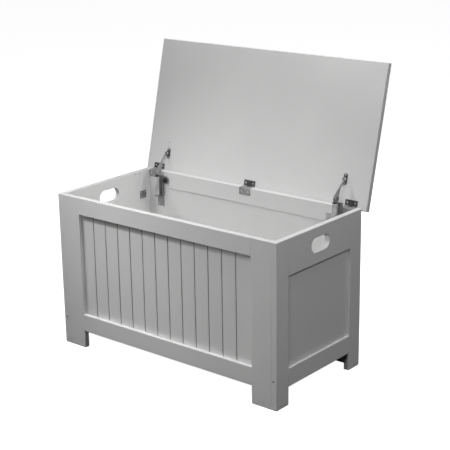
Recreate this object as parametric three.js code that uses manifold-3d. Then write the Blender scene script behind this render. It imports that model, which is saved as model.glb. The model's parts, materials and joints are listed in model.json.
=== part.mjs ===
// Storage bench: a framed box with a grooved front panel, hand holes in its sides and a hinged lid that is
// the seat. Three cranked hinges carry the lid, and two sliding stays hold it open just past upright.
// Millimetres, +Z up, +X to the right seen from the front, front face towards -Y.
// The origin is on the floor under the middle of the open bench.
import * as THREE from "three";
import { mergeVertices } from "three/addons/utils/BufferGeometryUtils.js";
import Module from "manifold-3d";

const wasm = await Module();
wasm.setup();

// ---------- driving dimensions ----------
const lidWidth = 800;
const lidDepth = 400;
const lidThickness = 16;
const lidOverhang = 12; // past the case at the front and at each side
const lidGap = 0.5; // between the closed lid and the case rim
const openAngle = THREE.MathUtils.degToRad(103.7); // from closed to the stop

const caseDepth = 379;
const caseHeight = 452;
const board = 16; // frame members of all four sides
const legGap = 51; // floor to the lower rails
const lowerRail = 51.5;
const upperRail = 49.6;
const sideUpperRail = 99.2;
const frontStile = 81; // seen from the front, with the edge of the side next to it
const sideStile = 51.7;

const panelLap = 8; // how far a panel reaches into the frame around it
const panelPlay = 0.3;
const frontPanel = 5; // in a rebate, level with the inner faces
const sidePanel = 10; // in a rebate, level with the inner faces
const backPanel = 5; // in a groove
const backPanelInset = 2; // from the inner face of the back
const beadPitch = 46.5;
const beadGrooves = 12;
const beadShift = -6; // the panel is cut a little off the middle of its pattern
const grooveWidth = 3.2;
const grooveDepth = 3;

const handHoleLength = 80;
const handHoleHeight = 39;
const handHoleZ = 404;

const bottomThickness = 9;
const bottomPlay = 0.5; // between the bottom board and the walls
const battenSize = 16;

const edgeScrew = 2.4; // radius of the screw heads in the front edges of the sides
const edgeScrewHead = 2;
const edgeScrewEnd = 13; // from the front face
const edgeScrewZ = 80.5;
const edgeScrewFromOutside = 10.5;
const edgeScrewSunk = 3;
const edgeScrewPlay = 0.4;

// Unused pilot holes: above the left bracket in the lid, on the back by the buffer, under the left rim.
const pilotRadius = 1.5;
const pilotDepth = 4;
const lidPilots = { x: -322.5, aboveBracket: [21, 33] };
const backPilot = { x: -294, z: 410.5, depth: 1.3 }; // no deeper than the wall of the panel's groove
const rimPilots = { side: -1, y: [113, 129], z: 446 };

const seatGap = 0.1; // between a screwed-on fitting and the board it lies on
const leaf = 1.2; // hinge leaf thickness
const knuckle = 2.4; // hinge barrel radius
const hingePin = 1.25;
const hingeBore = 1.34;
const hingeWidth = 40;
const hingeCentre = 350; // outer hinges, from the middle
const barrelShare = 0.36; // of the width, for the lid leaf's barrel in the middle
const barrelPlay = 0.4; // between barrels, and between a barrel and the back of the case
const barrelDrop = 0.2; // of a barrel's top below the lid
const barrelClear = 0.35; // from a barrel to the straight part of the other leaf
const lidLeafReach = 18.8;
const flangeDrop = 20; // case leaf on the inner face of the back
const notchDepth = 2.4;
const notchPlay = 0.3;
const hingeScrewHole = 2.1;
const hingeScrewOffset = 12.6; // either side of the hinge's middle

// Lid stays. Each has a lug on the lid, a flat arm, a rod eye over a damper tube, and a carriage on a rail.
const stays = {
  left: { side: -1, bracketAlongLid: 59, pivotZ: 450.4 },
  right: { side: 1, bracketAlongLid: 78, pivotZ: 475.6 },
};
const stayX = 320; // middle of the lug, from the middle of the bench
const pivotDrop = 9; // from the lid's underside to the lug's bore
const lug = { thick: 2.6, radius: 5, bore: 2.1, halfWidth: 6 };
const bracketPlate = { length: 31, width: 12, thick: 1.6 };
const bracketPin = { radius: 2, head: 3.6, headThick: 1.2, proud: 0.2 };
const arm = { inner: 1.7, thick: 2.5, eye: 5, eyeBore: 2.12, halfBar: 3, paddle: 11, paddleBore: 2.95 };
const paddleLift = 3.5; // of the paddle's round end above its pivot
const barShare = 0.45; // of the arm's length that is a straight bar, before it flares at the back
const flare = THREE.MathUtils.degToRad(20);
const rivet = { shank: 2.8, head: 8.6, headThick: 1.3, boss: 3.4, bossProud: 0.9, overlap: 0.1 };
const rodEye = { inner: 4.6, thick: 4.8, radius: 8.4, bore: 2.4, halfNeck: 3 };
const tubeX = 325;
const tubeY = 156;
const tubeBelowPivot = 12.8;
const tube = { radius: 6.9, length: 58, roll: 1, grooveFrom: 7, groove: 0.7, grooveWide: 2.5 };
const seal = { radius: 5.2, height: 3 };
const pivotY = 160;
const railPlay = 0.3;
const carriage = { halfWidth: 14.5, side: 2, web: 2.2, floor: 2.6, front: 7, below: 3, above: 1 };
const carriageShelf = { halfWidth: 7, reach: 5 };
const rail = { x: 329, halfWidth: 4, thick: 1.8, top: 428 }; // the top is just under the hinge flanges
const railFoot = { below: 95, halfWidth: 13, height: 28, holeAside: 8, holesUp: [7, 21] };

const fittingHole = 1.9;
const wallPlate = { y: 142.5, z: 378, halfDepth: 13, halfHeight: 11.5, thick: 1.6, holeY: 9, holeZ: 7.5 };
const buffer = { x: -302.5, z: 426, base: 12.5, baseThick: 1.4, radius: 6.8, proud: 9.6, tip: 4.6, tipProud: 1.4 };
const keeper = { x: 291.75, z: 418, halfWidth: 8.25, halfHeight: 10, thick: 2, holeAside: 5 };

// Facets in a full turn of a cylinder, by what it is, and in a quarter turn of a drawn arc.
const facets = { hole: 20, pin: 28, disc: 48 };
const arcFacets = 12;

// ---------- derived places ----------
const caseWidth = lidWidth - 2 * lidOverhang;
const outerX = caseWidth / 2;
const innerX = outerX - board;
const frontY = -caseDepth / 2;
const backY = caseDepth / 2;
const innerBackY = backY - board;
const axisY = backY + knuckle + barrelPlay;
const lidUnderside = caseHeight + lidGap;
const axisZ = lidUnderside - knuckle - barrelDrop;
const lidBehindAxis = lidDepth - lidOverhang - (axisY - frontY);
const undersideAboveAxis = lidUnderside - axisZ;
const openingX = outerX - frontStile;
const openingY = backY - sideStile;
const openingLow = legGap + lowerRail;

const paint = { color: 0xd8d8d6, roughness: 0.42, metalness: 0 };
const finishes = {
  paint: new THREE.MeshStandardMaterial(paint),
  board: new THREE.MeshStandardMaterial({ ...paint, roughness: 0.5 }),
  zinc: new THREE.MeshStandardMaterial({ color: 0x8e9092, roughness: 0.35, metalness: 1 }),
  steel: new THREE.MeshStandardMaterial({ color: 0x55575a, roughness: 0.4, metalness: 1 }),
  chrome: new THREE.MeshStandardMaterial({ color: 0xc9cbcd, roughness: 0.16, metalness: 1 }),
  rubber: new THREE.MeshStandardMaterial({ color: 0x1d1d1f, roughness: 0.75, metalness: 0 }),
};

// ---------- shape helpers ----------
const X = new THREE.Vector3(1, 0, 0);
const Y = new THREE.Vector3(0, 1, 0);
const Z = new THREE.Vector3(0, 0, 1);
const past = 1; // how far a cutting shape reaches beyond what it cuts

function box([x0, x1], [y0, y1], [z0, z1]) {
  const geometry = new THREE.BoxGeometry(Math.abs(x1 - x0), Math.abs(y1 - y0), Math.abs(z1 - z0));
  return geometry.translate((x0 + x1) / 2, (y0 + y1) / 2, (z0 + z1) / 2);
}

// A shape drawn in two world axes and extruded along the third.
function extrude(shape, depth, axisU, axisV, axisW) {
  const geometry = new THREE.ExtrudeGeometry(shape, { depth, bevelEnabled: false, curveSegments: arcFacets });
  return geometry.applyMatrix4(new THREE.Matrix4().makeBasis(axisU, axisV, axisW));
}
const extrudeX = (shape, [x0, x1]) => extrude(shape, x1 - x0, Y, Z, X).translate(x0, 0, 0);
const extrudeZ = (shape, [z0, z1]) => extrude(shape, z1 - z0, X, Y, Z).translate(0, 0, z0);

function cylinderX(radius, [x0, x1], y, z, segments = facets.pin) {
  const geometry = new THREE.CylinderGeometry(radius, radius, Math.abs(x1 - x0), segments);
  return geometry.rotateZ(Math.PI / 2).translate((x0 + x1) / 2, y, z);
}

function cylinderY(radius, [y0, y1], x, z, segments = facets.pin) {
  const geometry = new THREE.CylinderGeometry(radius, radius, Math.abs(y1 - y0), segments);
  return geometry.translate(x, (y0 + y1) / 2, z);
}

function cylinderZ(radius, [z0, z1], x, y, segments = facets.pin) {
  const geometry = new THREE.CylinderGeometry(radius, radius, Math.abs(z1 - z0), segments);
  return geometry.rotateX(Math.PI / 2).translate(x, y, (z0 + z1) / 2);
}

function solidOf(geometry) {
  const bare = geometry.clone();
  bare.deleteAttribute("normal");
  bare.deleteAttribute("uv");
  const merged = mergeVertices(bare, 1e-4);
  const vertProperties = merged.getAttribute("position").array;
  const triVerts = new Uint32Array(merged.index.array);
  return new wasm.Manifold(new wasm.Mesh({ numProp: 3, vertProperties, triVerts }));
}

function geometryOf(solid) {
  const mesh = solid.getMesh();
  const geometry = new THREE.BufferGeometry();
  geometry.setAttribute("position", new THREE.BufferAttribute(mesh.vertProperties, 3));
  geometry.setIndex(new THREE.BufferAttribute(mesh.triVerts, 1));
  geometry.computeVertexNormals();
  return geometry;
}

const join = (...pieces) => geometryOf(pieces.map(solidOf).reduce((sum, piece) => sum.add(piece)));
const cut = (body, ...tools) =>
  geometryOf(tools.map(solidOf).reduce((rest, tool) => rest.subtract(tool), solidOf(body)));

// A slot with round ends, its long side along u.
function obround(u, v, length, height) {
  const r = height / 2;
  const half = length / 2 - r;
  const shape = new THREE.Shape();
  shape.absarc(u + half, v, r, -Math.PI / 2, Math.PI / 2);
  shape.absarc(u - half, v, r, Math.PI / 2, (3 * Math.PI) / 2);
  return shape;
}

const around = (middle, half) => [middle - half, middle + half];
const widened = ([low, high], by = past) => [low - by, high + by];
const mirrored = (side, a, b) => (side > 0 ? [a, b] : [-b, -a]);

// ---------- the assembly ----------
const bench = new THREE.Group();
const carcass = new THREE.Group(); // centred on the case's own footprint
const lidGroup = new THREE.Group(); // on the hinge axis, drawn as if the lid were closed
bench.add(carcass);
carcass.add(lidGroup);
lidGroup.position.set(0, axisY, axisZ);
lidGroup.rotation.x = -openAngle;

function add(parent, name, geometry, material) {
  const mesh = new THREE.Mesh(geometry, material);
  mesh.name = name;
  parent.add(mesh);
}

// The room that a panel takes in its frame: a groove, or a rebate where it is open along one axis.
function panelRoom(spans, openAxis = -1, direction = 1) {
  const room = spans.map((span) => widened(span, panelPlay));
  if (openAxis >= 0) room[openAxis][direction > 0 ? 1 : 0] += direction * board;
  return box(...room);
}

// Front: two stiles, two rails and the grooved panel, which is level with the inner faces.
function buildFront() {
  const face = [frontY, frontY + board];
  const lap = openingX + panelLap;
  const panelY = [frontY + board - frontPanel, frontY + board];
  const panelZ = [openingLow - panelLap, caseHeight - upperRail + panelLap];
  const room = panelRoom([[-lap, lap], panelY, panelZ], 1);
  for (const [name, side] of [["left", -1], ["right", 1]]) {
    const stile = box(mirrored(side, openingX, innerX), face, [0, caseHeight]);
    add(carcass, `front_${name}_stile`, cut(stile, room), finishes.paint);
  }
  const span = [-openingX, openingX];
  const top = box(span, face, [caseHeight - upperRail, caseHeight]);
  const low = box(span, face, [legGap, openingLow]);
  add(carcass, "front_top_rail", cut(top, room), finishes.paint);
  add(carcass, "front_bottom_rail", cut(low, room), finishes.paint);

  const outline = new THREE.Shape();
  outline.moveTo(-lap, panelY[1]);
  outline.lineTo(-lap, panelY[0]);
  for (let i = 0; i < beadGrooves; i += 1) {
    const x = beadShift + (i - (beadGrooves - 1) / 2) * beadPitch;
    outline.lineTo(x - grooveWidth / 2, panelY[0]);
    outline.lineTo(x, panelY[0] + grooveDepth);
    outline.lineTo(x + grooveWidth / 2, panelY[0]);
  }
  outline.lineTo(lap, panelY[0]);
  outline.lineTo(lap, panelY[1]);
  add(carcass, "front_bead_panel", extrudeZ(outline, panelZ), finishes.paint);
}

// One side: stiles and rails the full depth of the case, a panel level with the inner faces, a hand hole.
function buildSide(name, side) {
  const face = mirrored(side, innerX, outerX);
  const lap = openingY + panelLap;
  const panelX = mirrored(side, innerX, innerX + sidePanel);
  const panelZ = [openingLow - panelLap, caseHeight - sideUpperRail + panelLap];
  const room = panelRoom([panelX, [-lap, lap], panelZ], 0, -side);
  const front = box(face, [frontY, -openingY], [0, caseHeight]);
  const screwX = side * (outerX - edgeScrewFromOutside);
  const headEnd = frontY + edgeScrewSunk + edgeScrewHead;
  const screwEnd = frontY + edgeScrewEnd;
  const boreSpan = [frontY - past, screwEnd + edgeScrewPlay];
  const bore = cylinderY(edgeScrew + edgeScrewPlay, boreSpan, screwX, edgeScrewZ);
  add(carcass, `${name}_front_stile`, cut(front, room, bore), finishes.paint);
  const back = box(face, [openingY, backY], [0, caseHeight]);
  add(carcass, `${name}_back_stile`, cut(back, room), finishes.paint);

  const hole = extrudeX(obround(0, handHoleZ, handHoleLength, handHoleHeight), widened(face));
  const pilotSpan = mirrored(side, innerX - past, innerX + pilotDepth);
  const pilotPlaces = side === rimPilots.side ? rimPilots.y : [];
  const pilots = pilotPlaces.map((y) => cylinderX(pilotRadius, pilotSpan, y, rimPilots.z, facets.hole));
  const top = box(face, [-openingY, openingY], [caseHeight - sideUpperRail, caseHeight]);
  add(carcass, `${name}_top_rail`, cut(top, room, hole, ...pilots), finishes.paint);
  const low = box(face, [-openingY, openingY], [legGap, openingLow]);
  add(carcass, `${name}_bottom_rail`, cut(low, room), finishes.paint);
  add(carcass, `${name}_panel`, box(panelX, [-lap, lap], panelZ), finishes.paint);

  const head = cylinderY(edgeScrew, [frontY + edgeScrewSunk, headEnd], screwX, edgeScrewZ);
  const shank = cylinderY(edgeScrew * 0.6, [headEnd - past, screwEnd], screwX, edgeScrewZ);
  add(carcass, `${name}_edge_screw`, join(head, shank), finishes.steel);
}

// Back: the same frame, with a thin panel in a groove and notches for the hinges.
function buildBack() {
  const face = [innerBackY, backY];
  const lap = openingX + panelLap;
  const panelY = [innerBackY + backPanelInset, innerBackY + backPanelInset + backPanel];
  const panelZ = [openingLow - panelLap, caseHeight - upperRail + panelLap];
  const room = panelRoom([[-lap, lap], panelY, panelZ]);
  const notch = (acrossX) => box(acrossX, widened(face), [caseHeight - notchDepth, caseHeight + past]);
  const hingeRoom = hingeWidth / 2 + notchPlay;
  for (const [name, side] of [["left", -1], ["right", 1]]) {
    const stile = box(mirrored(side, openingX, innerX), face, [0, caseHeight]);
    const toSide = notch(mirrored(side, hingeCentre - hingeRoom, innerX + past));
    add(carcass, `back_${name}_stile`, cut(stile, room, toSide), finishes.paint);
  }
  const span = [-openingX, openingX];
  const top = box(span, face, [caseHeight - upperRail, caseHeight]);
  const pilotSpan = [innerBackY - past, innerBackY + backPilot.depth];
  const pilot = cylinderY(pilotRadius, pilotSpan, backPilot.x, backPilot.z, facets.hole);
  add(carcass, "back_top_rail", cut(top, room, notch(around(0, hingeRoom)), pilot), finishes.paint);
  add(carcass, "back_bottom_rail", cut(box(span, face, [legGap, openingLow]), room), finishes.paint);
  add(carcass, "back_panel", box([-lap, lap], panelY, panelZ), finishes.board);
}

// Bottom board on two battens.
function buildBottom() {
  const batten = [legGap, legGap + battenSize];
  const ends = widened([-innerX, innerX], -bottomPlay);
  const frontFace = frontY + board;
  add(carcass, "front_batten", box(ends, [frontFace, frontFace + battenSize], batten), finishes.board);
  add(carcass, "back_batten", box(ends, [innerBackY - battenSize, innerBackY], batten), finishes.board);
  const top = [batten[1], batten[1] + bottomThickness];
  add(carcass, "bottom_board", box(ends, widened([frontFace, innerBackY], -bottomPlay), top), finishes.board);
}

// Place along the closed lid at a distance from its back edge.
const alongLid = (distance) => lidBehindAxis - distance;

// The lid board, with the two unused pilot holes above the left bracket.
function buildLid() {
  const depth = [alongLid(lidDepth), lidBehindAxis];
  const slab = box(around(0, lidWidth / 2), depth, [undersideAboveAxis, undersideAboveAxis + lidThickness]);
  const pilots = lidPilots.aboveBracket.map((above) => {
    const y = alongLid(stays.left.bracketAlongLid + above);
    const span = [undersideAboveAxis - past, undersideAboveAxis + pilotDepth];
    return cylinderZ(pilotRadius, span, lidPilots.x, y, facets.hole);
  });
  add(lidGroup, "lid", cut(slab, ...pilots), finishes.paint);
}

// A cranked hinge: the case leaf lies in the notch and turns down the inner face of the back.
function buildHinge(name, x) {
  const width = around(x, hingeWidth / 2);
  const middle = (hingeWidth * barrelShare) / 2;
  const plateEnd = knuckle + barrelClear;
  const screwX = around(x, hingeScrewOffset);

  const low = caseHeight - notchDepth + seatGap;
  const flangeY = [innerBackY - seatGap - leaf, innerBackY - seatGap];
  const plate = box(width, [flangeY[0], axisY - plateEnd], [low, low + leaf]);
  const flange = box(width, flangeY, [low - flangeDrop, low + leaf / 2]);
  const outer = [[width[0], x - middle - barrelPlay], [x + middle + barrelPlay, width[1]]];
  const tongues = outer.map((span) => box(span, [axisY - plateEnd - past, axisY], [low, low + leaf]));
  const barrels = outer.map((span) => cylinderX(knuckle, span, axisY, axisZ));
  const bore = cylinderX(hingeBore, widened(width), axisY, axisZ);
  const flangeHoles = screwX.map((sx) =>
    cylinderY(hingeScrewHole, widened(flangeY), sx, low - flangeDrop / 2, facets.hole));
  const caseLeaf = cut(join(plate, flange, ...tongues, ...barrels), bore, ...flangeHoles);
  add(carcass, `${name}_hinge_case_leaf`, caseLeaf, finishes.zinc);
  add(carcass, `${name}_hinge_pin`, cylinderX(hingePin, width, axisY, axisZ), finishes.steel);

  const top = undersideAboveAxis - seatGap;
  const centre = around(x, middle);
  const lidPlate = box(width, [-lidLeafReach, -plateEnd], [top - leaf, top]);
  const tongue = box(centre, [-plateEnd - past, -barrelPlay], [top - leaf, knuckle - seatGap]);
  const barrel = cylinderX(knuckle, centre, 0, 0);
  const lidBore = cylinderX(hingeBore, width, 0, 0);
  const holes = screwX.map((sx) =>
    cylinderZ(hingeScrewHole, widened([top - leaf, top]), sx, (-lidLeafReach - plateEnd) / 2, facets.hole));
  const lidLeaf = cut(join(lidPlate, tongue, barrel), lidBore, ...holes);
  add(lidGroup, `${name}_hinge_lid_leaf`, lidLeaf, finishes.steel);
}

// Where the lug's bore is on the closed lid, from the hinge axis.
const boreOnLid = ({ bracketAlongLid }) => [alongLid(bracketAlongLid), undersideAboveAxis - pivotDrop];

// Lid bracket: a plate on the lid's underside with a lug standing down from it, and the pin through the lug.
function buildBracket(name, stay) {
  const [y, z] = boreOnLid(stay);
  const lugX = around(stay.side * stayX, lug.thick / 2);
  const armX = mirrored(stay.side, stayX + arm.inner, stayX + arm.inner + arm.thick);
  const under = undersideAboveAxis - seatGap;
  const outline = obround(0, 0, bracketPlate.length, bracketPlate.width);
  const plate = extrude(outline, bracketPlate.thick, Y, X.clone().negate(), Z);
  plate.translate(stay.side * stayX, y, under - bracketPlate.thick);
  const web = box(lugX, around(y, lug.halfWidth), [z, under - bracketPlate.thick / 2]);
  const end = cylinderX(lug.radius, lugX, y, z);
  const bore = cylinderX(lug.bore, widened(lugX), y, z, facets.hole);
  add(lidGroup, `${name}_stay_lid_bracket`, cut(join(plate, web, end), bore), finishes.steel);

  const shank = widened([Math.min(...lugX, ...armX), Math.max(...lugX, ...armX)], bracketPin.proud);
  const pin = join(
    cylinderX(bracketPin.radius, shank, y, z, facets.hole),
    cylinderX(bracketPin.head, [shank[0] - bracketPin.headThick, shank[0]], y, z),
    cylinderX(bracketPin.head, [shank[1], shank[1] + bracketPin.headThick], y, z),
  );
  add(lidGroup, `${name}_stay_bracket_pin`, pin, finishes.chrome);
}

// Flat arm: an eye at the pin, a bar that runs down the front of the paddle round its lower pivot, and a
// flare from the bar to the back of the paddle.
function armPlate(spanX, reach) {
  const shape = new THREE.Shape();
  const shoulder = Math.asin(arm.halfBar / arm.eye);
  const aside = arm.paddle - arm.halfBar;
  const tangent = Math.asin(aside / (reach - paddleLift));
  shape.absarc(0, 0, arm.eye, -Math.PI / 2 + shoulder, (3 * Math.PI) / 2 - shoulder);
  shape.absarc(0, -reach + paddleLift, arm.paddle, Math.PI - tangent, 2 * Math.PI + flare);
  shape.lineTo(arm.halfBar - aside * barShare, -reach * barShare);
  const pinHole = cylinderX(arm.eyeBore, widened(spanX), 0, 0, facets.hole);
  const rivetHole = cylinderX(arm.paddleBore, widened(spanX), 0, -reach, facets.hole);
  return cut(extrudeX(shape, spanX), pinHole, rivetHole);
}

// The arm hangs from the bracket pin and is turned towards the pivot on the carriage.
function buildArm(name, stay) {
  const out = (a, b) => mirrored(stay.side, stayX + a, stayX + b);
  const pinPlace = new THREE.Vector3(0, ...boreOnLid(stay)).applyAxisAngle(X, -openAngle);
  pinPlace.add(new THREE.Vector3(0, axisY, axisZ));
  const dy = pivotY - pinPlace.y;
  const dz = stay.pivotZ - pinPlace.z;
  const reach = Math.hypot(dy, dz);
  const swing = new THREE.Group();
  swing.position.copy(pinPlace);
  swing.rotation.x = Math.atan2(dy, -dz);
  carcass.add(swing);
  const outerFace = arm.inner + arm.thick;
  add(swing, `${name}_stay_arm`, armPlate(out(arm.inner, outerFace), reach), finishes.zinc);
  const headFace = arm.inner - rivet.headThick;
  const rivetParts = [
    cylinderX(rivet.head, out(headFace, arm.inner), 0, -reach),
    cylinderX(rivet.boss, out(headFace - rivet.bossProud, headFace + rivet.overlap), 0, -reach),
    cylinderX(rivet.shank, out(arm.inner - rivet.overlap, outerFace), 0, -reach, facets.hole),
  ];
  add(swing, `${name}_stay_arm_rivet`, join(...rivetParts), finishes.steel);
}

// Turned damper tube with rolled ends and a groove below the top.
function damperTube(x, top) {
  const { radius, length, roll, grooveFrom, groove, grooveWide } = tube;
  const grooveLow = length - grooveFrom;
  const grooveTop = grooveLow + grooveWide;
  const profile = [
    [0, 0], [radius - roll, 0], [radius, roll],
    [radius, grooveLow], [radius - groove, grooveLow + groove],
    [radius - groove, grooveTop - groove], [radius, grooveTop],
    [radius, length - roll], [radius - roll, length], [0, length],
  ].map(([r, height]) => new THREE.Vector2(r, height));
  const geometry = new THREE.LatheGeometry(profile, facets.disc).rotateX(Math.PI / 2);
  return geometry.translate(x, tubeY, top - length);
}

// Damper: rod eye on a black seal at the top of the tube, carried by a channel with a shelf under the tube.
function buildDamper(name, { side, pivotZ }) {
  const tubeTop = pivotZ - tubeBelowPivot;
  const centreX = side * tubeX;
  const eyeX = mirrored(side, stayX + rodEye.inner, stayX + rodEye.inner + rodEye.thick);
  const eye = cylinderX(rodEye.radius, eyeX, pivotY, pivotZ, facets.disc);
  const neck = box(eyeX, around(tubeY, rodEye.halfNeck), [tubeTop + seal.height, pivotZ]);
  const eyeBore = cylinderX(rodEye.bore, widened(eyeX), pivotY, pivotZ, facets.hole);
  add(carcass, `${name}_stay_rod_eye`, cut(join(eye, neck), eyeBore), finishes.steel);
  const sealSpan = [tubeTop, tubeTop + seal.height];
  add(carcass, `${name}_stay_seal`, cylinderZ(seal.radius, sealSpan, centreX, tubeY), finishes.rubber);
  add(carcass, `${name}_stay_damper_tube`, damperTube(centreX, tubeTop), finishes.chrome);

  const channelY = [tubeY + carriage.front, innerBackY - rail.thick - railPlay];
  const channelZ = [tubeTop - tube.length - carriage.below, tubeTop + carriage.above];
  const floorTop = channelZ[0] + carriage.floor;
  const channel = box(around(centreX, carriage.halfWidth), channelY, channelZ);
  const hollow = box(
    around(centreX, carriage.halfWidth - carriage.side),
    [channelY[0] - past, channelY[1] - carriage.web],
    [floorTop, channelZ[1] + past],
  );
  const shelfY = [tubeY - carriageShelf.reach, channelY[0] + past];
  const shelf = box(around(centreX, carriageShelf.halfWidth), shelfY, [channelZ[0], floorTop]);
  add(carcass, `${name}_stay_carriage`, join(cut(channel, hollow), shelf), finishes.zinc);
}

// Rail: a flat strip on the back that the carriage runs on, widening into a screwed foot.
function buildRail(name, { side, pivotZ }) {
  const footZ = pivotZ - tubeBelowPivot - railFoot.below;
  const centreX = side * tubeX;
  const face = [innerBackY - rail.thick, innerBackY - seatGap];
  const strip = box(around(side * rail.x, rail.halfWidth), face, [footZ + railFoot.holesUp[0], rail.top]);
  const foot = box(around(centreX, railFoot.halfWidth), face, [footZ, footZ + railFoot.height]);
  const holes = around(centreX, railFoot.holeAside).flatMap((x) =>
    railFoot.holesUp.map((up) => cylinderY(fittingHole, widened(face), x, footZ + up, facets.hole)));
  add(carcass, `${name}_stay_rail`, cut(join(strip, foot), ...holes), finishes.zinc);
}

// Four-hole plate on a side wall.
function buildWallPlate(name, side) {
  const { y, z, halfDepth, halfHeight, thick, holeY, holeZ } = wallPlate;
  const face = mirrored(side, innerX - seatGap - thick, innerX - seatGap);
  const plate = box(face, around(y, halfDepth), around(z, halfHeight));
  const holes = around(y, holeY).flatMap((hy) =>
    around(z, holeZ).map((hz) => cylinderX(fittingHole, widened(face), hy, hz, facets.hole)));
  add(carcass, `${name}_wall_plate`, cut(plate, ...holes), finishes.zinc);
}

// Beside the stays, on the back: a rubber buffer on a round base on the left, a square keeper on the right.
function buildBackFittings() {
  const wall = innerBackY - seatGap;
  const baseFace = wall - buffer.baseThick;
  const disc = (radius, spanY) => cylinderY(radius, spanY, buffer.x, buffer.z, facets.disc);
  add(carcass, "left_back_buffer_base", disc(buffer.base, [baseFace, wall]), finishes.zinc);
  const bufferFace = wall - buffer.proud;
  const body = disc(buffer.radius, [bufferFace, baseFace - seatGap]);
  const tip = disc(buffer.tip, [bufferFace - buffer.tipProud, bufferFace + past]);
  add(carcass, "left_back_buffer", join(body, tip), finishes.rubber);
  const face = [wall - keeper.thick, wall];
  const plate = box(around(keeper.x, keeper.halfWidth), face, around(keeper.z, keeper.halfHeight));
  const holes = around(keeper.z, keeper.holeAside).map((z) =>
    cylinderY(fittingHole, widened(face), keeper.x, z, facets.hole));
  add(carcass, "right_back_keeper", cut(plate, ...holes), finishes.zinc);
}

buildFront();
buildBack();
buildBottom();
buildLid();
buildHinge("left", -hingeCentre);
buildHinge("centre", 0);
buildHinge("right", hingeCentre);
for (const [name, stay] of Object.entries(stays)) {
  buildSide(name, stay.side);
  buildBracket(name, stay);
  buildArm(name, stay);
  buildDamper(name, stay);
  buildRail(name, stay);
  buildWallPlate(name, stay.side);
}
buildBackFittings();

// Put the origin under the middle of the open bench, from the front face to the lid's far edge.
const lidFarEdge = new THREE.Vector3(0, alongLid(lidDepth), undersideAboveAxis + lidThickness);
const rearmostY = axisY + lidFarEdge.applyAxisAngle(X, -openAngle).y;
carcass.position.y = -(frontY + rearmostY) / 2;

export default bench;
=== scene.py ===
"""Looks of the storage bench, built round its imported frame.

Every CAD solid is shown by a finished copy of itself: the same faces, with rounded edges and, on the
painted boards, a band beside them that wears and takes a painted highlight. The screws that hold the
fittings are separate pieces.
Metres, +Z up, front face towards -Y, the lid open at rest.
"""

import json
import math

import bmesh
import bpy
from mathutils import Matrix, Vector

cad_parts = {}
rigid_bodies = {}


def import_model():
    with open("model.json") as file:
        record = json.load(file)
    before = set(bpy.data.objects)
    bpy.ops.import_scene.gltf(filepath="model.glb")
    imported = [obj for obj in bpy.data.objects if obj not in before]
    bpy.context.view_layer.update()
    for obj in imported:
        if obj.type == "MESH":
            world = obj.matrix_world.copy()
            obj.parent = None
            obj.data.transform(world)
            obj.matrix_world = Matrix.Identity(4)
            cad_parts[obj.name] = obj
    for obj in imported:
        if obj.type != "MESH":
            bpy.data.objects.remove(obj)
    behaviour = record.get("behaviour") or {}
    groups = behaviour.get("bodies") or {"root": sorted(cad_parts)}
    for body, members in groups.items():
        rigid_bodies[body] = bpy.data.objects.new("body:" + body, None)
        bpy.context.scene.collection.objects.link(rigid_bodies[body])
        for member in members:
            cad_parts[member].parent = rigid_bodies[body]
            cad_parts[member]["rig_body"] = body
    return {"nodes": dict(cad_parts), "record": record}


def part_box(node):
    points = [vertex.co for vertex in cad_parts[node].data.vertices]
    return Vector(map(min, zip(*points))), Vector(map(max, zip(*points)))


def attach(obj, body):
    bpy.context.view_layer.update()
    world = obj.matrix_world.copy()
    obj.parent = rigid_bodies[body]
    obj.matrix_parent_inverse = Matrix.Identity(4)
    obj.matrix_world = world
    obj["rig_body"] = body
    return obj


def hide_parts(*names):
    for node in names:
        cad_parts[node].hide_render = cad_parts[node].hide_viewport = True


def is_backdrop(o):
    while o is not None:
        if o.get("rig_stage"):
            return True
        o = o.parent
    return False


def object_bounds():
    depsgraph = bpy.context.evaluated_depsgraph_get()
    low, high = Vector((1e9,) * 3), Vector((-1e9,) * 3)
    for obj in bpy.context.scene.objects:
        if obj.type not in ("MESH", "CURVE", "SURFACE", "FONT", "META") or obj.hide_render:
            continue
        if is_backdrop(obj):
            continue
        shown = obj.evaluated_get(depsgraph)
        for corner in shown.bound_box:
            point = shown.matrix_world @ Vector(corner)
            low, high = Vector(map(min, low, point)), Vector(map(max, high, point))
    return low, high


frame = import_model()
cad_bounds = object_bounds()

MM = 0.001
SLOTS = {part["node"]: part["material_slot"] for part in frame["record"]["subparts"]}

# Edge rounding in mm by material slot: free edges, and edges butted against a board of the same wall.
ROUNDING = {
    "white_paint": (1.1, 0.35),
    "board_paint": (0.5, 0.35),
    "zinc_steel": (0.25, 0.25),
    "dark_steel": (0.25, 0.25),
    "chrome": (0.3, 0.3),
    "rubber": (0.5, 0.5),
}
ROUNDING_STEPS = 2
GROOVE_ROUNDING = 0.5  # free edges of the grooved front panel
HOLE_ROUNDING = 0.2  # rims and bottoms of small holes

# Limits, in mm except for shares and angles, that tell the parts of a CAD mesh apart.
SAME_PLACE = 0.002  # vertices nearer than this are one
CUT_SNAP = 0.005  # a cut keeps to the vertices nearer than this
FLUSH = 0.01  # what counts as level with a face
BUTTED = 0.6  # boards of a wall nearer than this are butted together
SMALL_HOLE = 3.2  # radius up to which a hole counts as a screw, pin or pilot hole
HOLE_DEPTH = 5  # how far below its rim a point still counts as in a small hole
HOLE_MARGIN = 1.01  # share of a hole's radius within which a point is in it or on its wall
GROOVE_SHOULDER = 0.8  # how far inside the front panel's faces the bottoms of its grooves lie at least

FLAT = math.radians(1)  # faces that meet at a smaller angle are one level face
SHARP = math.radians(26)  # edges that bend less than this are facets of a curve and aren't rounded
FACING = -0.3  # sides whose inward directions have a smaller product than this face each other

EDGE_BAND = 2.4  # width in mm of the flat band beside an edge that wears with it and takes its painted highlight
BAND_SHARE = 0.3  # the most of a face's width that the band takes

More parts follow.
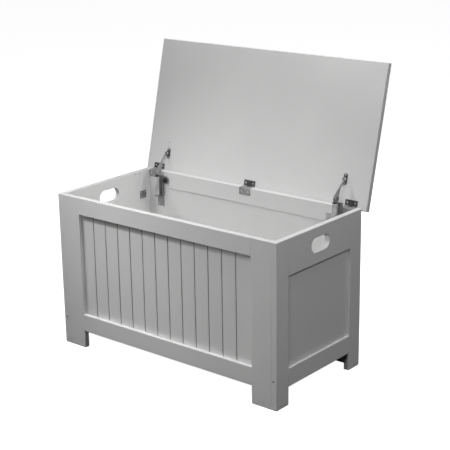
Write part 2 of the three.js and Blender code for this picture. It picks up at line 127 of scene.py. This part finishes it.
# Values of the edge attribute: the middle of a rounded edge, its rims, and all over a screw head.
CROWN_EDGE = 1.0
RIM_EDGE = 0.7
SCREW_EDGE = 0.6

# Fittings whose looks differ from the rest of their material slot.
LOOKS = {
    "case_leaf": "zinc_leaf",
    "stay_arm": "zinc_leaf",
    "rod_eye": "zinc_steel",
    "arm_rivet": "zinc_leaf",
    "buffer_base": "zinc_leaf",
    "keeper": "nickel",
    "stay_rail": "zinc_leaf",
}

SCREW_HOLE = 1.6  # radius in mm above which a hole in a fitting takes a screw
BRACKET_SCREW = 2.4  # radius in mm of the heads on a lid bracket
BRACKET_REACH = 0.72  # how far they are from the plate's middle, as a share of its half length
EDGE_HEAD = 0.48  # radius of an edge screw's head, as a share of the screw's width in the CAD
HEAD_TOP = 0.53  # height of a screw head of radius 1
SCREW_CREASE = math.radians(40)
FIRST_TURN, NEXT_TURN = 0.3, 0.7  # radians by which a fitting's screws are turned
INSIDE_HEIGHT = 0.4  # metres above the bottom board of a point that the screwed faces look towards

# Screw heads by fitting: radius as a share of the hole's, and height as a share of a full head's.
SCREWED = {
    "hinge_case_leaf": (1.3, 1.0),
    "hinge_lid_leaf": (1.3, 0.16),  # low, for the case leaf folds over it
    "wall_plate": (1.3, 1.0),
    "keeper": (1.3, 1.0),
    "stay_rail": (0.94, 0.6),  # small enough to sink into its hole, for the carriage passes over it
}

FLOOR_DROP = 0.4  # mm from the feet down to the floor, so that their faces don't share a plane
PAPER_GLOW = 0.97  # what the floor and the backdrop give off, 1 being white
MIDDLE = Vector((0, 0, 0.4))  # about the middle of the open bench


# ---------- materials ----------
class Graph:
    """A material's node tree, with one short call for each kind of node used here."""

    def __init__(self, name, **constants):
        self.material = bpy.data.materials.new(name)
        self.material.use_nodes = True
        self.tree = self.material.node_tree
        self.surface = self.tree.nodes["Principled BSDF"]
        for socket, value in constants.items():
            self.surface.inputs[socket.replace("_", " ")].default_value = value
        self.place = self.add("ShaderNodeTexCoord").outputs["Object"]

    def add(self, kind, inputs=None, **settings):
        node = self.tree.nodes.new(kind)
        for key, value in settings.items():
            setattr(node, key, value)
        for key, value in (inputs or {}).items():
            self.feed(node.inputs[key], value)
        return node

    def feed(self, socket, value):
        if isinstance(value, bpy.types.NodeSocket):
            self.tree.links.new(value, socket)
        else:
            socket.default_value = value

    def noise(self, scale, detail, stretch=(1, 1, 1)):
        """Noise with features about 1/scale metres long, drawn out along axes where stretch is small."""
        mapping = self.add("ShaderNodeMapping", {"Vector": self.place, "Scale": stretch})
        inputs = {"Vector": mapping.outputs["Vector"], "Scale": scale, "Detail": detail}
        return self.add("ShaderNodeTexNoise", inputs).outputs["Fac"]

    def remap(self, value, low, high, to_low=0.0, to_high=1.0):
        """A smooth step from to_low to to_high as the value goes from low to high."""
        inputs = {"Value": value, "From Min": low, "From Max": high, "To Min": to_low, "To Max": to_high}
        node = self.add("ShaderNodeMapRange", inputs, interpolation_type="SMOOTHSTEP")
        return node.outputs["Result"]

    def maths(self, operation, a, b):
        return self.add("ShaderNodeMath", {0: a, 1: b}, operation=operation).outputs[0]

    def tint(self, factor, a, b):
        """Colour a, turning to colour b as the factor goes from 0 to 1."""
        node = self.add("ShaderNodeMix", data_type="RGBA")
        for index, value in ((0, factor), (6, a), (7, b)):
            self.feed(node.inputs[index], value)
        return node.outputs[2]

    def attribute(self, name):
        return self.add("ShaderNodeAttribute", attribute_name=name).outputs["Fac"]

    def edge(self):
        """1 on rounded edges, falling to 0 across the band beside them."""
        return self.attribute("edge")

    def finish(self, colour, roughness, bumps):
        """Sets what varies over the surface. bumps are (height, depth in mm) pairs."""
        self.feed(self.surface.inputs["Base Color"], colour)
        self.feed(self.surface.inputs["Roughness"], roughness)
        normal = None
        for height, depth in bumps:
            inputs = {"Height": height, "Distance": depth * MM, "Strength": 1.0}
            if normal is not None:
                inputs["Normal"] = normal
            normal = self.add("ShaderNodeBump", inputs).outputs["Normal"]
        self.feed(self.surface.inputs["Normal"], normal)
        return self.material


def grey(value, warmth=0.0):
    return (value * (1 + warmth), value, value * (1 - warmth), 1)


def painted(name, tone, roughness, peel):
    """Sprayed satin paint on board: faint clouding, orange peel, burnished and nicked edges that are
    lighter in patches as a painted highlight, painted shade in groove bottoms and small holes, where
    the holes also show dark raw board, and scuffs by the floor.
    """
    g = Graph(name, Specular_IOR_Level=0.45, IOR=1.47)
    cloud = g.noise(3.5, 2)
    fleck = g.noise(160, 4)
    body = g.tint(g.remap(cloud, 0.3, 0.7), grey(tone * 0.975, 0.002), grey(tone * 1.02, 0.004))
    body = g.tint(g.remap(fleck, 0.62, 0.8, 0, 0.5), body, grey(tone * 0.94, 0.003))
    # rubbed edges, glossier and lighter in patches: partly wear, partly a painted highlight
    rubbed_and_highlit = g.remap(g.maths("MULTIPLY", g.edge(), g.noise(90, 4)), 0.28, 0.62)
    body = g.tint(g.maths("MULTIPLY", rubbed_and_highlit, 0.55), body, grey(tone * 1.12, 0.004))
    nick = g.remap(g.maths("MULTIPLY", g.edge(), g.noise(240, 3)), 0.62, 0.7)
    body = g.tint(g.maths("MULTIPLY", nick, 0.45), body, grey(tone * 0.6, 0.02))
    # painted shade in groove bottoms and small holes, with dark raw board in the holes
    patches = g.remap(g.noise(45, 3), 0.2, 0.7, 0.75, 1.0)
    shade_and_raw = g.maths("MULTIPLY", g.attribute("unpainted"), patches)
    body = g.tint(g.remap(shade_and_raw, 0.15, 0.95), body, grey(tone * 0.3, 0.02))
    height = g.add("ShaderNodeSeparateXYZ", {"Vector": g.place}).outputs["Z"]
    near_floor = g.remap(height, 0.03, 0.0)
    scuff = g.maths("MULTIPLY", near_floor, g.remap(g.noise(60, 5), 0.42, 0.68))
    body = g.tint(g.maths("MULTIPLY", scuff, 0.5), body, grey(tone * 0.62, 0.03))
    gloss = g.remap(g.noise(18, 4), 0.3, 0.7, roughness - 0.05, roughness + 0.06)
    gloss = g.maths("SUBTRACT", gloss, g.maths("MULTIPLY", rubbed_and_highlit, 0.1))
    waves = g.noise(22, 2)
    grain = g.noise(420, 2)
    return g.finish(body, gloss, [(waves, 0.12), (grain, peel)])


def plated(name, tone, roughness, brush, metallic, edge_lift=1.35):
    """Plated steel: clouded zinc or nickel, fine rolling lines, brighter where edges rub.
    brush stretches the lines along the axes where it is small.
    """
    g = Graph(name, Metallic=metallic)
    cloud = g.noise(70, 4)
    lines = g.noise(900, 3, brush)
    body = g.tint(g.remap(cloud, 0.3, 0.7), grey(tone * 0.82, -0.01), grey(tone * 1.12, -0.004))
    body = g.tint(g.remap(lines, 0.35, 0.7, 0, 0.35), body, grey(tone * 0.7, -0.01))
    rubbed = g.remap(g.maths("MULTIPLY", g.edge(), g.noise(300, 3)), 0.25, 0.6)
    body = g.tint(g.maths("MULTIPLY", rubbed, 0.7), body, grey(min(tone * edge_lift, 0.95), -0.004))
    gloss = g.remap(cloud, 0.25, 0.75, roughness - 0.08, roughness + 0.12)
    gloss = g.maths("SUBTRACT", gloss, g.maths("MULTIPLY", rubbed, 0.08))
    return g.finish(body, gloss, [(cloud, 0.01), (lines, 0.008)])


def moulded(name, tone):
    """Matt black rubber with a fine mould texture and dusty patches."""
    g = Graph(name, Specular_IOR_Level=0.4)
    dust = g.remap(g.noise(55, 4), 0.45, 0.75)
    body = g.tint(dust, grey(tone), grey(tone * 2.2, 0.01))
    body = g.tint(g.maths("MULTIPLY", g.edge(), 0.5), body, grey(tone * 2.6, 0.01))
    gloss = g.remap(g.noise(120, 3), 0.3, 0.7, 0.55, 0.75)
    return g.finish(body, gloss, [(g.noise(1500, 2), 0.03)])


MATERIALS = {
    "white_paint": painted("white_paint", tone=0.8, roughness=0.42, peel=0.03),
    "board_paint": painted("board_paint", tone=0.78, roughness=0.55, peel=0.05),
    "zinc_steel": plated("zinc_steel", 0.28, 0.46, brush=(0.04, 0.04, 1), metallic=0.5),
    "zinc_leaf": plated("zinc_leaf", 0.42, 0.48, brush=(0.04, 0.04, 1), metallic=0.45),
    "dark_steel": plated("dark_steel", 0.12, 0.4, brush=(1, 0.05, 0.05), metallic=0.5, edge_lift=2.2),
    "nickel": plated("nickel", 0.6, 0.4, brush=(0.04, 1, 1), metallic=0.4),
    "chrome": plated("chrome", 0.66, 0.36, brush=(1, 1, 0.02), metallic=0.45),
    "rubber": moulded("rubber", tone=0.018),
}


def material_of(node):
    special = [look for word, look in LOOKS.items() if node.endswith(word)]
    return MATERIALS[special[0] if special else SLOTS[node]]


# ---------- finished copies of the CAD solids ----------
def boards_of_wall(node):
    """Boxes of the other boards in a board's wall, which is the first word of its name."""
    wall = node.split("_")[0] + "_"
    members = [n for n in frame["nodes"] if n.startswith(wall) and n != node]
    return [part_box(n) for n in members if SLOTS[n].endswith("paint")]


def touches(point, box, reach):
    low, high = box
    return all(low[i] - reach <= point[i] <= high[i] + reach for i in range(3))


def in_hole(point, hole, least_depth):
    """Whether a point is in a small hole or on its wall, and at least least_depth below its rim."""
    centre, radius, normal, _ = hole
    depth = (centre - point).dot(normal)
    off_axis = (centre - point - depth * normal).length
    return off_axis < HOLE_MARGIN * radius and least_depth <= depth < HOLE_DEPTH * MM


def edge_width(edge, free, tight, neighbours, holes, kept):
    """Rounding of an edge in mm: none on level faces or kept edges, little in joints and small holes."""
    if len(edge.link_faces) != 2 or edge.calc_face_angle() < SHARP or edge in kept:
        return 0
    middle = (edge.verts[0].co + edge.verts[1].co) / 2
    if any(in_hole(middle, hole, -FLUSH * MM) for hole in holes):
        return min(HOLE_ROUNDING, free)
    if any(touches(middle, box, BUTTED * MM) for box in neighbours):
        return tight
    return free


def take_group(faces, crosses):
    """Takes out the last face and all that are joined to it over the edges that crosses() allows."""
    group = [faces.popitem()[0]]
    for face in group:
        for edge in face.edges:
            for other in edge.link_faces:
                if other in faces and crosses(edge):
                    del faces[other]
                    group.append(other)
    return group


def groups_of(faces, crosses):
    """Groups of joined faces, in an order that is the same each run, as a set's isn't."""
    left = dict.fromkeys(faces)
    while left:
        yield take_group(left, crosses)


def is_level(edge):
    return len(edge.link_faces) == 2 and edge.calc_face_angle() < FLAT


def outlines(faces):
    """The closed chains of vertices round a level group of faces, the longest chain first."""
    inside = set(faces)
    border = [e for f in faces for e in f.edges if sum(o in inside for o in e.link_faces) == 1]
    at = {}
    for edge in border:
        for vert in edge.verts:
            at.setdefault(vert, []).append(edge)
    chains, left = [], dict.fromkeys(border)
    while left:
        edge = left.popitem()[0]
        chain = [edge.verts[0], edge.verts[1]]
        while True:
            following = [e for e in at[chain[-1]] if e in left]
            if not following:
                break
            del left[following[0]]
            chain.append(following[0].other_vert(chain[-1]))
        chains.append(chain)

    def span(chain):
        return max((vert.co - chain[0].co).length for vert in chain)

    return sorted(chains, key=span, reverse=True)


def holes_in(bm):
    """(centre, radius, face normal, direction of the face's longest side) of each hole in a face."""
    found = []
    for faces in groups_of(bm.faces, is_level):
        outer, *inner = outlines(faces)
        sides = [b.co - a.co for a, b in zip(outer, outer[1:])]
        along = max(sides, key=lambda side: side.length).normalized()
        for chain in inner:
            corners = [vert.co for vert in chain[:-1]]
            centre = sum(corners, Vector()) / len(corners)
            radius = sum((c - centre).length for c in corners) / len(corners)
            found.append((centre, radius, faces[0].normal.copy(), along))
    return found


def bare_copy(node):
    """Returns the CAD mesh with shared vertices joined and level faces merged, split by a cut through
    each hole, and a list of its small holes. Holes in one line share a cut.
    """
    bm = bmesh.new()
    bm.from_mesh(frame["nodes"][node].data)
    bmesh.ops.remove_doubles(bm, verts=bm.verts, dist=SAME_PLACE * MM)
    bmesh.ops.dissolve_limit(bm, angle_limit=FLAT, verts=bm.verts, edges=bm.edges)
    cuts, holes = {}, holes_in(bm)
    for centre, _, _, along in holes:
        along = along if max(along, key=abs) > 0 else -along
        key = tuple(round(value, 3) for value in along) + (round(centre.dot(along) / MM, 1),)
        cuts[key] = (centre, along)
    for key in sorted(cuts):
        centre, along = cuts[key]
        geometry = [*bm.verts, *bm.edges, *bm.faces]
        plane = {"plane_co": centre, "plane_no": along}
        made = bmesh.ops.bisect_plane(bm, geom=geometry, dist=CUT_SNAP * MM, **plane)
        for item in made["geom_cut"]:
            if isinstance(item, bmesh.types.BMEdge):
                item.seam = True
    bmesh.ops.dissolve_limit(bm, angle_limit=FLAT, verts=bm.verts, edges=bm.edges, delimit={"SEAM"})
    return bm, [hole for hole in holes if hole[1] < SMALL_HOLE * MM]


def apply_modifiers(obj):
    """Replaces an object's mesh by what its modifiers make of it."""
    graph = bpy.context.evaluated_depsgraph_get()
    mesh = bpy.data.meshes.new_from_object(obj.evaluated_get(graph))
    obj.modifiers.clear()
    obj.data = mesh


def narrowest(border):
    """The smallest gap across a level face between two of its sides that face each other."""
    sides = []
    for corner in border:
        ends = corner.vert.co, corner.link_loop_next.vert.co
        along = (ends[1] - ends[0]).normalized()
        sides.append((ends, along, corner.face.normal.cross(along), corner.face.normal))
    gap = math.inf
    for (start, end), along, inward, normal in sides:
        for others, _, other_inward, _ in sides:
            steps = [other - start for other in others]
            across = min(step.dot(inward) for step in steps)
            off_plane = max(abs(step.dot(normal)) for step in steps)
            if inward.dot(other_inward) < FACING and across > FLUSH * MM > off_plane:
                reach = sorted(step.dot(along) for step in steps)
                if reach[0] < (end - start).length and reach[1] > 0:
                    gap = min(gap, across)
    return gap


def add_edge_band(bm, depth_limit):
    """Adds a loop on the level faces beside each rounded edge. Returns the faces between."""
    band = []
    level = [face for face in bm.faces if face.material_index == 0]
    for region in list(groups_of(level, lambda edge: True)):
        corners = [corner for face in region for corner in face.loops]
        border = [c for c in corners if any(face.material_index for face in c.edge.link_faces)]
        if border:
            width = 2 * sum(f.calc_area() for f in region) / sum(c.edge.calc_length() for c in border)
            depth = min(depth_limit, BAND_SHARE * min(width, narrowest(border)))
            inset = bmesh.ops.inset_region(bm, faces=region, thickness=depth, use_even_offset=True)
            band += inset["faces"]
    return band


def mark_edges(mesh, banded):
    """Writes the edge value that the materials read: 1 along rounded edges, 0 on level faces."""
    bm = bmesh.new()
    bm.from_mesh(mesh)
    bmesh.ops.remove_doubles(bm, verts=bm.verts, dist=SAME_PLACE * MM)
    level = {face for face in bm.faces if face.material_index == 0}
    rim = {vert for vert in bm.verts if any(f in level for f in vert.link_faces)}
    crown = set(bm.verts) - rim
    rim = {vert for vert in rim if any(f.material_index for f in vert.link_faces)}
    band = set(add_edge_band(bm, EDGE_BAND * MM)) if banded else set()
    layer = bm.loops.layers.float.new("edge")
    for face in bm.faces:
        for corner in face.loops:
            if corner.vert in crown:
                corner[layer] = CROWN_EDGE
            elif corner.vert in rim and (face in band or face.material_index):
                corner[layer] = RIM_EDGE
    for face in bm.faces:
        face.material_index = 0
        face.smooth = True
    bm.to_mesh(mesh)
    bm.free()


def in_groove(verts):
    """For each vertex of the grooved panel, whether it lies inside the panel, as groove bottoms do."""
    low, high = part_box("front_bead_panel")
    shoulder = GROOVE_SHOULDER * MM
    return [low[1] + shoulder < vert.co.y < high[1] - shoulder for vert in verts]


def groove_bottoms(bm):
    """The edges along the bottoms of the grooves, which stay sharp."""
    inside = {vert for vert, deep in zip(bm.verts, in_groove(bm.verts)) if deep}
    return {edge for edge in bm.edges if all(vert in inside for vert in edge.verts)}


def mark_unpainted(mesh, grooved, holes):
    """Writes the value that the paint reads as painted shade, with dark raw board in the holes: 1 in small
    holes and groove bottoms, 0 elsewhere.
    """
    shade_and_raw = in_groove(mesh.vertices) if grooved else [False] * len(mesh.vertices)
    least_depth = 0.5 * HOLE_ROUNDING * MM
    for index, vert in enumerate(mesh.vertices):
        shade_and_raw[index] = float(shade_and_raw[index] or any(in_hole(vert.co, hole, least_depth) for hole in holes))
    mesh.attributes.new("unpainted", "FLOAT", "POINT").data.foreach_set("value", shade_and_raw)


def round_edges(piece, width):
    """Rounds a piece's edges by their weights. The new faces get the second material slot."""
    bevel = piece.modifiers.new("rounding", "BEVEL")
    bevel.limit_method = "WEIGHT"
    bevel.width = width * MM
    bevel.segments = ROUNDING_STEPS
    bevel.material = 1
    bevel.use_clamp_overlap = False
    apply_modifiers(piece)


def finished_copy(node):
    """Makes a rounded, banded copy of a CAD node that rides on the node's body and stands for it.
    Returns the node's small holes.
    """
    slot = SLOTS[node]
    is_painted = slot.endswith("paint")
    is_grooved = node == "front_bead_panel"
    free, tight = ROUNDING[slot]
    if is_grooved:
        free = GROOVE_ROUNDING
    bm, holes = bare_copy(node)
    neighbours = boards_of_wall(node) if is_painted else []
    kept = groove_bottoms(bm) if is_grooved else set()
    weight = bm.edges.layers.float.new("bevel_weight_edge")
    for edge in bm.edges:
        edge[weight] = edge_width(edge, free, tight, neighbours, holes, kept) / free
    mesh = bpy.data.meshes.new(f"{node}_finished")
    bm.to_mesh(mesh)
    bm.free()
    piece = bpy.data.objects.new(f"{node}_finished", mesh)
    bpy.context.scene.collection.objects.link(piece)
    for _ in range(2):  # the second slot only marks what the rounding adds
        mesh.materials.append(material_of(node))
    round_edges(piece, free)
    mark_edges(piece.data, banded=is_painted)
    # dark groove bottoms and small holes: painted shade, and raw board in the holes
    if is_painted:
        mark_unpainted(piece.data, is_grooved, holes)
    piece.data.materials.pop(index=1)
    weighted = piece.modifiers.new("level faces", "WEIGHTED_NORMAL")
    weighted.keep_sharp = True
    apply_modifiers(piece)
    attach(piece, frame["nodes"][node]["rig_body"])
    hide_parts(node)
    return holes


# ---------- screws ----------
def cross_cutter():
    """A cross with tapered arms, open above the head, narrowing to the recess's floor."""
    bm = bmesh.new()
    rings = []
    for height, arm, half in ((0.8, 0.66, 0.15), (0.16, 0.42, 0.09)):
        quarter = [(arm, -half), (arm, half), (half, half)]
        points = []
        for _ in range(4):
            points += quarter
            quarter = [(-y, x) for x, y in quarter]
        rings.append([bm.verts.new((x, y, height)) for x, y in points])
    top, floor = rings
    bm.faces.new(top)
    bm.faces.new(list(reversed(floor)))
    for i, vert in enumerate(top):
        j = (i + 1) % len(top)
        bm.faces.new([vert, floor[i], floor[j], top[j]])
    return bm


def pan_head():
    """A pan head of radius 1, domed on top, with its flat underside just below the surface it is on."""
    profile = [(0, -0.02), (0.97, -0.02), (1, 0.05), (0.97, 0.2), (0.84, 0.36), (0.6, 0.47), (0.3, 0.52)]
    profile.append((0, HEAD_TOP))
    sides = 28
    bm = bmesh.new()
    rings = []
    for r, z in profile[1:-1]:
        angles = (2 * math.pi * i / sides for i in range(sides))
        rings.append([bm.verts.new((r * math.cos(a), r * math.sin(a), z)) for a in angles])
    for low, high in zip(rings, rings[1:]):
        for i in range(sides):
            j = (i + 1) % sides
            bm.faces.new([low[i], low[j], high[j], high[i]])
    bottom, top = bm.verts.new((0, 0, profile[0][1])), bm.verts.new((0, 0, profile[-1][1]))
    for i in range(sides):
        j = (i + 1) % sides
        bm.faces.new([bottom, rings[0][j], rings[0][i]])
        bm.faces.new([top, rings[-1][i], rings[-1][j]])
    return bm


def object_of(bm, name):
    mesh = bpy.data.meshes.new(name)
    bmesh.ops.recalc_face_normals(bm, faces=bm.faces)
    bm.to_mesh(mesh)
    bm.free()
    obj = bpy.data.objects.new(name, mesh)
    bpy.context.scene.collection.objects.link(obj)
    return obj


def cross_head():
    """The mesh of one screw head of radius 1 with a cross recess."""
    head, cutter = object_of(pan_head(), "head"), object_of(cross_cutter(), "cutter")
    recess = head.modifiers.new("recess", "BOOLEAN")
    recess.operation = "DIFFERENCE"
    recess.solver = "EXACT"
    recess.object = cutter
    apply_modifiers(head)
    mesh = head.data
    for obj in (head, cutter):
        bpy.data.objects.remove(obj)
    return mesh


def add_screws(node, places, height=1.0, look="nickel"):
    """One piece with a screw head at each (place, radius, outward direction), each turned further."""
    bm = bmesh.new()
    for index, (place, radius, outward) in enumerate(places):
        upright = outward.to_track_quat("Z", "Y").to_matrix().to_4x4()
        turn = upright @ Matrix.Rotation(NEXT_TURN * index + FIRST_TURN, 4, "Z")
        size = Matrix.Diagonal((radius, radius, radius * height, 1))
        start = len(bm.verts)
        bm.from_mesh(CROSS_HEAD)
        bm.verts.ensure_lookup_table()
        bmesh.ops.transform(bm, matrix=Matrix.Translation(place) @ turn @ size, verts=bm.verts[start:])
    layer = bm.loops.layers.float.new("edge")
    for face in bm.faces:
        face.smooth = True
        for corner in face.loops:
            corner[layer] = SCREW_EDGE
    piece = object_of(bm, f"{node}_screws")
    piece.data.materials.append(MATERIALS[look])
    piece.data.set_sharp_from_angle(angle=SCREW_CREASE)
    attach(piece, frame["nodes"][node]["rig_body"])


def screw_fitting(node, holes):
    """Screws in the holes of a fitting, on the side that looks into the bench."""
    low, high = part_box("bottom_board")
    inside = (Vector(low) + Vector(high)) / 2 + Vector((0, 0, INSIDE_HEIGHT))
    share, height = next(style for ending, style in SCREWED.items() if node.endswith(ending))
    places = []
    for centre, radius, normal, _ in holes:
        if radius > SCREW_HOLE * MM and normal.dot(inside - centre) > 0:
            head = share * radius
            sink = HEAD_TOP * head * height if share < 1 else 0
            places.append((centre - sink * normal, head, normal))
    add_screws(node, places, height)


def screw_bracket(node):
    """Two screws near the ends of a lid bracket's plate, which is its largest face to the front."""
    bm = bmesh.new()
    bm.from_mesh(frame["nodes"][node].data)
    bmesh.ops.remove_doubles(bm, verts=bm.verts, dist=SAME_PLACE * MM)
    forward = [group for group in groups_of(bm.faces, is_level) if group[0].normal.y < -0.5]
    plate = max(forward, key=lambda faces: sum(face.calc_area() for face in faces))
    corners = dict.fromkeys(vert for face in plate for vert in face.verts)
    middle = sum((vert.co for vert in corners), Vector()) / len(corners)
    far = max(corners, key=lambda vert: (vert.co - middle).length).co
    normal = plate[0].normal.copy()
    reach = far - middle
    reach.x = 0
    radius = BRACKET_SCREW * MM
    places = [(middle + share * reach, radius, normal) for share in (BRACKET_REACH, -BRACKET_REACH)]
    bm.free()
    add_screws(node, places)


def screw_edge(node):
    """The recessed head at the end of a side's edge screw."""
    low, high = (Vector(corner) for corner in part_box(node))
    place = (low + high) / 2
    place.y = low.y
    radius = EDGE_HEAD * (high.x - low.x)
    add_screws(node, [(place, radius, Vector((0, -1, 0)))], look="dark_steel")


# ---------- studio ----------
def make_camera():
    """The photograph's view, from the front right and looking down a little."""
    azimuth, elevation, roll = (math.radians(angle) for angle in (39.69, 16.98, -0.89))
    place = Matrix.Translation((2.09732, -2.50120, 1.36463))
    data = bpy.data.cameras.new("camera")
    data.lens = 97.105
    data.sensor_width = 36
    camera = bpy.data.objects.new("camera", data)
    bpy.context.scene.collection.objects.link(camera)
    turn = Matrix.Rotation(azimuth, 4, "Z") @ Matrix.Rotation(math.pi / 2 - elevation, 4, "X")
    camera.matrix_world = place @ turn @ Matrix.Rotation(roll, 4, "Z")
    bpy.context.scene.camera = camera


def camera_only(obj):
    """Keeps a bright surface of the set from lighting the bench or showing in its gloss."""
    obj.visible_diffuse = False
    obj.visible_glossy = False
    obj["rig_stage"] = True


def glowing_paper(name, gloss):
    return Graph(name, Specular_IOR_Level=gloss, Emission_Color=grey(1.0), Emission_Strength=PAPER_GLOW)


def make_floor():
    bpy.ops.mesh.primitive_plane_add(size=30, location=(0, 0, -FLOOR_DROP * MM))
    floor = bpy.context.object
    floor.name = "floor"
    g = glowing_paper("floor_paper", 0.2)
    shade = g.tint(g.remap(g.noise(2, 3), 0.3, 0.7), grey(0.9), grey(0.92))
    floor.data.materials.append(g.finish(shade, 0.9, [(g.noise(300, 2), 0.02)]))
    camera_only(floor)


def make_backdrop():
    """A dome round the set, which casts no shadow on it."""
    bpy.ops.mesh.primitive_uv_sphere_add(segments=64, ring_count=32, radius=14)
    dome = bpy.context.object
    dome.name = "backdrop"
    g = glowing_paper("backdrop_paper", 0.0)
    shade = g.tint(g.remap(g.noise(1, 2), 0.3, 0.7), grey(0.02), grey(0.03))
    dome.data.materials.append(g.finish(shade, 1.0, [(g.noise(3, 2), 0.02)]))
    dome.visible_shadow = False
    camera_only(dome)


def add_softbox(name, place, target, size, power, spread=180):
    """A round lamp that faces its target: size in metres, power in watts, spread of its beam in degrees."""
    data = bpy.data.lights.new(name, "AREA")
    data.shape = "DISK"
    data.size = size
    data.energy = power
    data.spread = math.radians(spread)
    light = bpy.data.objects.new(name, data)
    bpy.context.scene.collection.objects.link(light)
    light.location = place
    light.rotation_euler = (Vector(target) - Vector(place)).to_track_quat("-Z", "Y").to_euler()
    light.visible_camera = False


def make_lights():
    """All light comes from lamps: the world is dark, and the floor and the backdrop light nothing."""
    world = bpy.data.worlds.new("studio")
    world.use_nodes = True
    world.node_tree.nodes["Background"].inputs["Strength"].default_value = 0.0
    bpy.context.scene.world = world
    add_softbox("right_softbox", (2.64, 0.47, 2.65), MIDDLE, size=1.4, power=30.5)
    add_softbox("near_softbox", (0.82, -1.41, 1.16), MIDDLE, size=0.7, power=5.5)
    add_softbox("far_key", (-2.4, -2.0, 2.6), (0.1, 0, 0.5), size=0.15, power=24.9)
    add_softbox("front_key", (-0.66, -0.94, 1.63), (-0.1, -0.24, 0.2), size=0.15, power=1.12, spread=50)
    add_softbox("overhead_softbox", (0.45, -0.35, 2.1), (0.1, 0.2, 0.6), size=0.6, power=12.0)
    add_softbox("front_softbox", (0.2, -2.6, 0.4), (0, 0, 0.3), size=0.8, power=2.2)
    add_softbox("low_left_softbox", (-2.4, 0.35, 0.28), (-0.4, 0, 0.25), size=0.5, power=15.0)
    add_softbox("back_softbox", (0, 2.5, 0.5), MIDDLE, size=0.7, power=22.0)


CROSS_HEAD = cross_head()
for name in sorted(frame["nodes"]):
    screw_holes = finished_copy(name)
    if name.endswith(tuple(SCREWED)):
        screw_fitting(name, screw_holes)
    elif name.endswith("lid_bracket"):
        screw_bracket(name)
    elif name.endswith("edge_screw"):
        screw_edge(name)
make_camera()
make_floor()
make_backdrop()
make_lights()
bpy.context.scene.view_settings.view_transform = "Standard"

visual_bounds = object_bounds()
boxes = {"cad": cad_bounds, "visual": visual_bounds}
{name: [list(corner) for corner in box] for name, box in boxes.items()}
